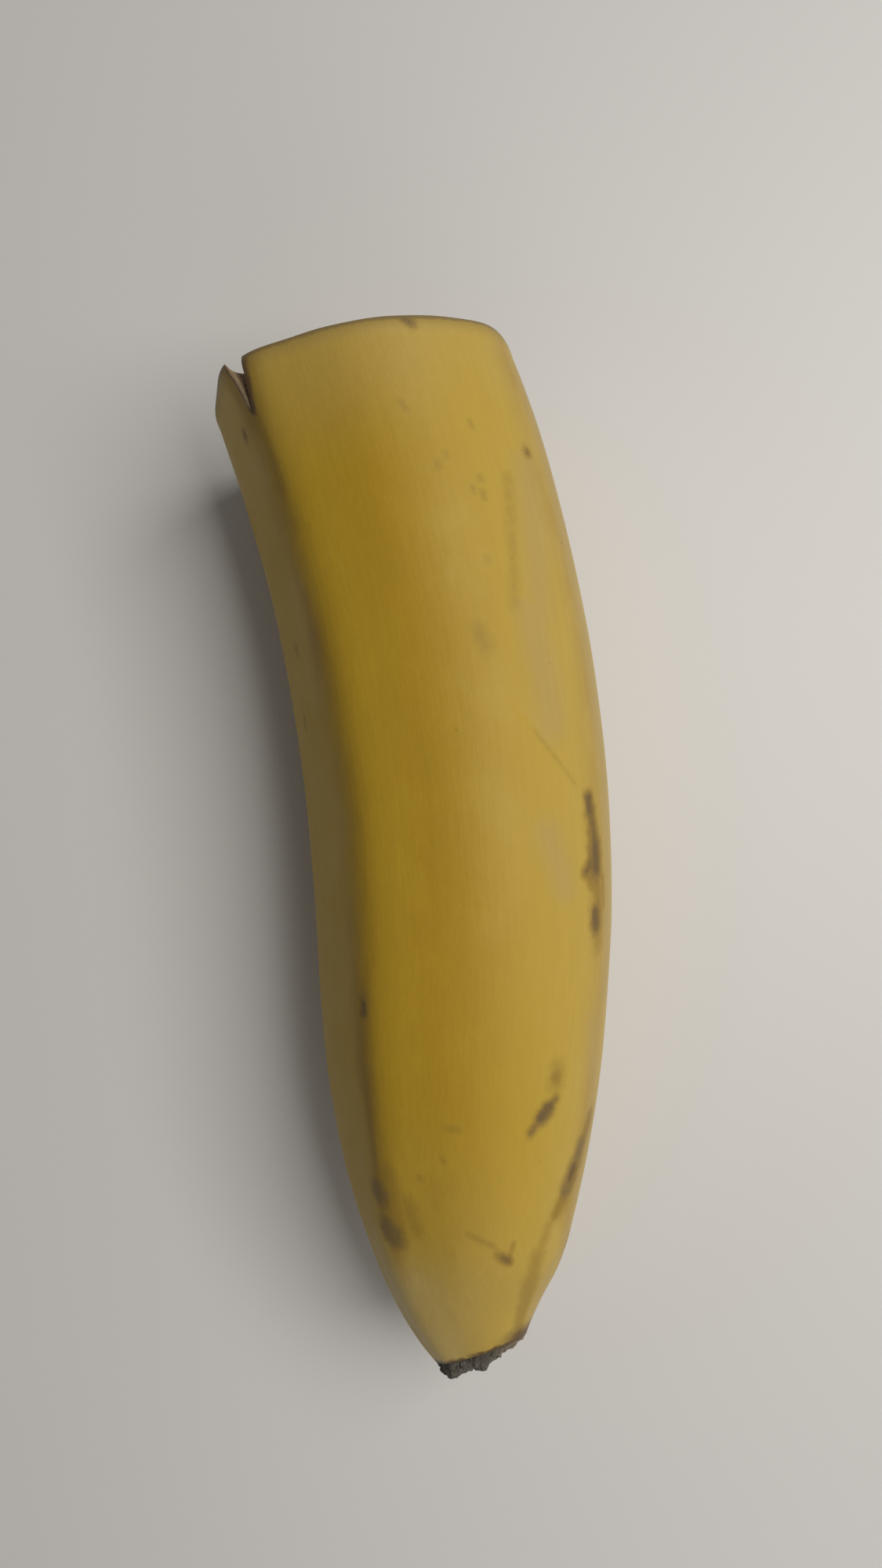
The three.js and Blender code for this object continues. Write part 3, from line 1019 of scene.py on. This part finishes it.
def makeFlesh(rule):
    # the cut face from its middle out, then the body down to its rounded end
    angle = np.linspace(0, fullTurn, flesh["columns"] + 1)[None, :]
    faceShape = (flesh["faceRings"], flesh["columns"] + 1)
    rings = np.linspace(1, 0, flesh["faceRings"])[:, None] ** flesh["ringCrowding"]
    reach = evenArc(flesh["bodyRings"])[1:, None] * (flesh["end"] - flesh["inset"])
    bodyShape = (len(reach), flesh["columns"] + 1)
    sheets = Sheets()
    face = sheets.points(faceShape, along=flesh["inset"], angle=angle, depth=1.0, inward=rings)
    body = sheets.points(bodyShape, along=flesh["inset"] + reach, angle=angle, depth=1.0)
    face[0, :] = face[0, 0]
    body[-1, :] = body[-1, 0]
    whole = np.concatenate([face, body])
    weld(whole)
    sheets.cover(whole)
    thing = sheets.makeObject("bananaFlesh")

    sizes = {**fleshRelief, "Pulp": makePulp()}
    tree, given = newTree("growFlesh", sizes)
    laid = laidOnFruit(given["Geometry"], rule, **{"Core end": flesh["end"], "Core gap": flesh["gap"]})
    # the knife's drag lines across the face, and a core that stands a little proud
    straight = namedValue(tree, "straightPlace", "FLOAT_VECTOR")
    drag = noiseOf(stretched(straight, 0.15, 1, 1), given["Drag size"], 3, 0.55) - 1.0
    onFace = ramp(namedValue(tree, "inward"), 0.0, 0.08)
    inCore = ramp(namedValue(tree, "inward"), 0.5, 0.75) - 1.0
    relief = (drag * given["Drag height"] + inCore * given["Core rise"]) * onFace
    finishTree(pushed(laid, relief), given["Pulp"])
    runTree(thing, tree, sizes)
    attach(thing, "root")
    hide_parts("flesh")


seeds = {
    "Seed count": 15,
    "Seed length": 0.95 * mm,
    "Near ring": 2.3 * mm,
    "Far ring": 4.9 * mm,
    "Lobe turn": 22.0,
}
seedPlan = {
    "lobes": 3,
    "faceRadius": 15.6 * mm,
    "sunk": 0.05 * mm,
    "angleSpread": 15.0,
    "ringSpread": 0.3 * mm,
}


def makeSeeds(rule):
    # a row of small seeds in each lobe of the core, from the near ring to the far one
    seedCoat = makeSpeckled("seedCoat", (0.05, 0.03, 0.018), (0.13, 0.08, 0.04), 0.4 * mm, 0.5)
    sizes = {**seeds, "Coat": seedCoat}
    tree, given = newTree("sowSeeds", sizes)
    index = makeNode(tree, "GeometryNodeInputIndex")
    lobe = maths(tree, "MODULO", index, seedPlan["lobes"])
    lastRank = seeds["Seed count"] // seedPlan["lobes"] - 1
    rank = maths(tree, "FLOOR", index / seedPlan["lobes"]) / lastRank
    points = makeNode(tree, "GeometryNodePoints", Count=given["Seed count"])
    angle = lobe * (fullTurn / seedPlan["lobes"]) - given["Lobe turn"]
    angle = angle + anyOf(tree, -seedPlan["angleSpread"], seedPlan["angleSpread"], 3)
    radius = given["Near ring"] + (given["Far ring"] - given["Near ring"]) * rank
    radius = radius + anyOf(tree, -seedPlan["ringSpread"], seedPlan["ringSpread"], 4)
    points = storeNamed(points, "along", flesh["inset"] + seedPlan["sunk"])
    points = storeNamed(points, "angle", angle)
    points = storeNamed(points, "depth", 1.0)
    points = storeNamed(points, "inward", 1.0 - radius / seedPlan["faceRadius"])
    laid = laidOnFruit(points, rule)
    ball = makeNode(tree, "GeometryNodeMeshIcoSphere", Radius=given["Seed length"] / 2, Subdivisions=2)
    turn = joined(tree, anyOf(tree, -0.4, 0.4, 5), anyOf(tree, 0.0, 3.1, 6), anyOf(tree, -0.4, 0.4, 7))
    size = joined(tree, 0.5, 0.35, anyOf(tree, 0.75, 1.0, 8))
    sown = makeNode(
        tree, "GeometryNodeInstanceOnPoints", Points=laid, Instance=ball, Rotation=turn, Scale=size)
    finishTree(sown, given["Coat"])
    thing = linkObject("fleshSeeds", bpy.data.meshes.new("fleshSeeds"))
    runTree(thing, tree, sizes)
    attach(thing, "root")


# Each string's angle and how far it runs round, along at its start and end in mm,
# depth at its start and end, and girth in mm. The first hangs in the split.
strings = [
    (-51.5, -2.5, 2.6, 0.7, 0.95, 0.35, 0.42),
    (-20, 13, 0.5, 0.3, 0.97, 0.90, 0.30),
    (14, -10, 0.5, 0.25, 0.98, 0.93, 0.26),
    (50, 18, 0.5, 0.2, 0.96, 0.86, 0.34),
    (88, 9, 0.5, 0.25, 0.99, 0.92, 0.24),
    (121, -14, 0.5, 0.25, 0.97, 0.88, 0.32),
    (160, 12, 0.5, 0.3, 0.98, 0.91, 0.26),
    (214, 16, 0.5, 0.2, 0.96, 0.87, 0.32),
    (262, -13, 0.5, 0.25, 0.98, 0.90, 0.28),
]
stringForm = {"points": 14, "sides": 8, "sway": 0.03, "swayRate": 9}


def makeStrings(rule):
    sheets = Sheets()
    share = np.linspace(0, 1, stringForm["points"])
    for number, (angle, run, startAlong, endAlong, startDepth, endDepth, girth) in enumerate(strings):
        along = (startAlong + (endAlong - startAlong) * share) * mm
        sway = stringForm["sway"] * np.sin(share * stringForm["swayRate"] + number)
        depth = startDepth + (endDepth - startDepth) * share + sway
        taper = girth * mm * np.sqrt(np.clip(1.02 - np.abs(2 * share - 1) ** 3, 0, 1))
        row = sheets.points(share.shape, along=along, angle=angle + run * share, depth=depth, girth=taper)
        sheets.thread(row)
    thing = sheets.makeObject("pithStrings")
    dryString = makeSpeckled("driedString", (0.20, 0.13, 0.065), (0.50, 0.37, 0.19), 0.5 * mm, 0.7)
    sizes = {"Sides": stringForm["sides"], "String": dryString}
    tree, given = newTree("drawStrings", sizes)
    curves = makeNode(tree, "GeometryNodeMeshToCurve", Mesh=laidOnFruit(given["Geometry"], rule))
    profile = makeNode(tree, "GeometryNodeCurvePrimitiveCircle", Resolution=given["Sides"], Radius=1.0)
    drawn = makeNode(
        tree, "GeometryNodeCurveToMesh", Curve=curves, ProfileCurve=profile, FillCaps=True,
        Scale=namedValue(tree, "girth"))
    finishTree(drawn, given["String"])
    runTree(thing, tree, sizes)
    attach(thing, "root")


# The scar at the blossom end: a low dry crust with lobes, crags and flakes

scar = {"gap": 0.3 * mm, "root": -0.4 * mm, "depth": 0.6 * mm, "columns": 160}
scarLobes = [  # angle, rise, width
    (-60, 1.3 * mm, 30),
    (-6, 1.1 * mm, 18),
    (80, -0.4 * mm, 26),
    (150, 0.5 * mm, 26),
    (225, 0.6 * mm, 20),
]
scarProfile = [  # share of the radius, share of the height
    (0, 0), (0.5, 0), (0.88, 0), (0.955, 0.2), (0.985, 0.4), (0.99, 0.6), (0.97, 0.78), (0.93, 0.92),
    (0.86, 1), (0.77, 0.97), (0.66, 0.9), (0.54, 0.84), (0.42, 0.78), (0.3, 0.74), (0.18, 0.71),
    (0.08, 0.7), (0, 0.7),
]
scarRelief = {
    "Crag height": 0.5 * mm,
    "Crag size": 1.1 * mm,
    "Flake size": 0.62 * mm,
    "Flakes per mm2": 1.6,
    "Flake seed": 4,
}


def makeScar(rule):
    # a crust rooted a little inside the skin, and higher where it has a lobe
    angle = np.linspace(0, fullTurn, scar["columns"] + 1)[None, :]
    lobes = sum(rise * hump(angle, centre, width) for centre, rise, width in scarLobes)
    height = scar["gap"] + scar["depth"] + lobes
    reach, level = np.array(scarProfile).T[:, :, None]
    sheets = Sheets()
    rows = sheets.points(
        (len(scarProfile), scar["columns"] + 1), along=fruit["Length"], angle=angle,
        inward=1 - reach, standOff=scar["root"] + (height - scar["root"]) * level)
    rows[0, :] = rows[0, 0]
    rows[-1, :] = rows[-1, 0]
    weld(rows)
    sheets.cover(rows)
    thing = sheets.makeObject("blossomScar")

    sizes = {**scarRelief, "Crust": makeCrust()}
    tree, given = newTree("growScar", sizes)
    laid = laidOnFruit(given["Geometry"], rule)
    straight = namedValue(tree, "straightPlace", "FLOAT_VECTOR")
    crags = ramp(noiseOf(straight, given["Crag size"], 4, 0.62), 0.3, 0.7, -1.0, 0.0)
    free = ramp(namedValue(tree, "standOff"), 0.05 * mm, 0.5 * mm)
    crust = pushed(laid, crags * free * given["Crag height"])
    # loose flakes lie on what stands clear of the skin
    clear = maths(tree, "GREATER_THAN", namedValue(tree, "standOff"), scar["gap"])
    density = given["Flakes per mm2"] * 1e6  # per square metre
    spots = makeNode(
        tree, "GeometryNodeDistributePointsOnFaces", Mesh=crust, Selection=clear, Density=density,
        Seed=given["Flake seed"])
    spin = Wire(tree, spots.socket.node.outputs["Rotation"])
    flake = makeNode(tree, "GeometryNodeMeshIcoSphere", Radius=given["Flake size"] / 2, Subdivisions=1)
    size = joined(tree, anyOf(tree, 0.5, 1.2, 1), anyOf(tree, 0.4, 0.9, 2), anyOf(tree, 0.25, 0.6, 3))
    flakes = makeNode(
        tree, "GeometryNodeInstanceOnPoints", Points=spots, Instance=flake, Rotation=spin, Scale=size)
    both = makeNode(tree, "GeometryNodeJoinGeometry", Geometry=flakes)
    plug(crust, both.socket.node.inputs["Geometry"])
    finishTree(both, given["Crust"])
    runTree(thing, tree, sizes)
    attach(thing, "root")
    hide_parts("blossom_end")


def findStart():
    # the cut's centre, from how far a bare skin laid from the origin reaches
    path = makePath((0.0, 0.0))
    rule = makeFruitRule(path)
    rows, columns = 240, 181
    stations = np.linspace(0, fruit["Length"], rows)[:, None]
    share = np.linspace(0, 1, columns)[None, :]
    sheets = Sheets()
    sheets.cover(sheets.points((rows, columns), **peelValues(stations, share, 0.0, wear=0.0)))
    skin = sheets.makeObject("bareSkin")
    plain = bpy.data.materials.new("plain")
    tree, given = newTree("layBareSkin", {"Skin": plain})
    finishTree(laidOnFruit(given["Geometry"], rule), given["Skin"])
    runTree(skin, tree, {"Skin": plain})
    points = np.array([vertex.co for vertex in skin.data.vertices])
    low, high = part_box("peel")
    startX = (low.x + high.x) / 2 - (points[:, 0].min() + points[:, 0].max()) / 2
    startY = high.y - points[:, 1].max()
    for thing in (skin, path):
        bpy.data.objects.remove(thing)
    for group in (rule, tree):
        bpy.data.node_groups.remove(group)
    bpy.data.materials.remove(plain)
    return startX, startY


addHiddenMarks()
start = findStart()
print("the cut's centre is at", start)
path = makePath(start)
rule = makeFruitRule(path)
makePeel(rule)
makeFlesh(rule)
makeSeeds(rule)
makeStrings(rule)
makeScar(rule)
bpy.data.objects.remove(path)

# Camera, floor and light

view = {  # straight down, from a place beside the cut's centre
    "sideways": 9.22 * mm,
    "along": -50.23 * mm,
    "height": 162.7 * mm,
    "lens": 26,
    "sensor": 36,
    "nearest": 10 * mm,
}
floorLook = {"reach": 2.0, "level": -0.1 * mm, "colour": (0.745, 0.722, 0.695, 1), "roughness": 0.5}
lampColour = (1.0, 0.985, 0.95)
lamps = [  # name, place, size in metres, power
    ("ceilingLamp", (0.24, 0.09, 0.44), (0.42, 0.3), 1.76),
    ("rightWindow", (0.48, 0.0, 0.26), (0.8, 0.4), 0.3),
    ("nearWindow", (0.14, -0.45, 0.28), (0.4, 0.4), 0.36),
]
ambient = {"colour": (0.98, 0.98, 1.0, 1), "strength": 0.1}


def setCamera():
    camera = linkObject("camera", bpy.data.cameras.new("camera"))
    camera.location = (start[0] + view["sideways"], start[1] + view["along"], view["height"])
    camera.data.lens = view["lens"]
    camera.data.sensor_width = view["sensor"]
    camera.data.clip_start = view["nearest"]
    bpy.context.scene.camera = camera


def layFloor():
    reach, level = floorLook["reach"], floorLook["level"]
    corners = [(x * reach, y * reach, level) for x, y in ((-1, -1), (1, -1), (1, 1), (-1, 1))]
    mesh = bpy.data.meshes.new("floor")
    mesh.from_pydata(corners, [], [(0, 1, 2, 3)])
    paint, _, _ = newMaterial("floorPaint", Roughness=floorLook["roughness"], BaseColor=floorLook["colour"])
    mesh.materials.append(paint)
    floor = linkObject("floor", mesh)


def hangLamp(name, place, size, power):
    # each lamp faces the origin
    lamp = bpy.data.lights.new(name, "AREA")
    lamp.shape = "RECTANGLE"
    lamp.size, lamp.size_y = size
    lamp.energy = power
    lamp.color = lampColour
    thing = linkObject(name, lamp)
    thing.location = place
    thing.rotation_euler = (-Vector(place)).to_track_quat("-Z", "Y").to_euler()


setCamera()
layFloor()
for lamp in lamps:
    hangLamp(*lamp)
world = bpy.data.worlds.new("studio")
world.use_nodes = True
background = world.node_tree.nodes["Background"]
background.inputs["Color"].default_value = ambient["colour"]
background.inputs["Strength"].default_value = ambient["strength"]
bpy.context.scene.world = world
bpy.context.scene.view_settings.view_transform = "Standard"
print("the camera, the floor and", len(lamps), "lamps are set")
